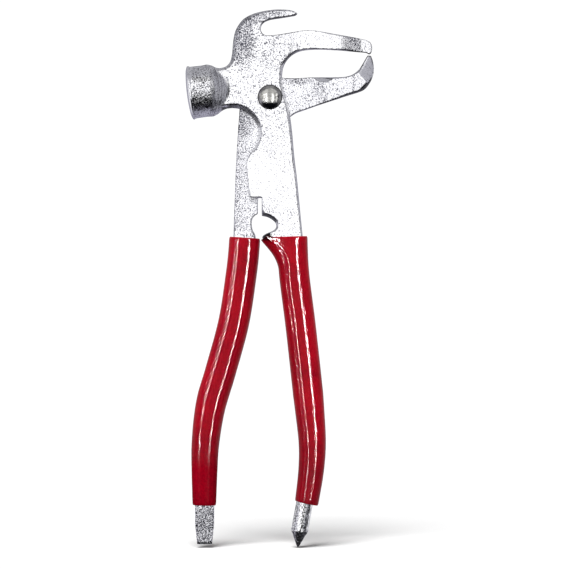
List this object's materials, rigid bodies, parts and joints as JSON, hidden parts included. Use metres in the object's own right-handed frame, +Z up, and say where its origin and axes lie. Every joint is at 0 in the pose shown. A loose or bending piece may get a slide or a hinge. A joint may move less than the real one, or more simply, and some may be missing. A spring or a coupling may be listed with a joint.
{
  "type": "hammer pliers",
  "caption": "Forged steel pliers with a hammer head, prying hook, curved jaws and shear, on sleeved handles with a flat and a pointed tail.",
  "frame": {"origin": "on the pivot axis, in the middle of the flat rear end of the rivet", "axes": "+Z up along the pliers from the tails to the hook, +Y along the pivot axis towards the back, +X towards the tips of the jaws, with the front facing -Y"},
  "size_m": [0.0882, 0.0248, 0.2503],
  "materials": {
    "forged_steel": "bright plating over a fine tumbled forging, speckled",
    "forged_steel_rear": "bright plating over a fine tumbled forging, speckled and a little greyer",
    "rivet_steel": "satin turned dome",
    "washer_steel": "satin, pressed",
    "red_vinyl": "glossy soft vinyl with faint lengthwise ridges"
  },
  "bodies": {
    "hammer_side": {"hammer_arm": "forged_steel", "hammer_arm_grip": "red_vinyl", "pivot_rivet": "rivet_steel", "rivet_washer": "washer_steel"},
    "jaw_side": {"jaw_arm": "forged_steel_rear", "jaw_arm_grip": "red_vinyl"}
  },
  "joints": [
    {"name": "pivot", "type": "hinge", "parent": "hammer_side", "child": "jaw_side", "pos_m": [0, 0, 0], "axis": [0, 1, 0], "range_deg": [0, 30]}
  ]
}
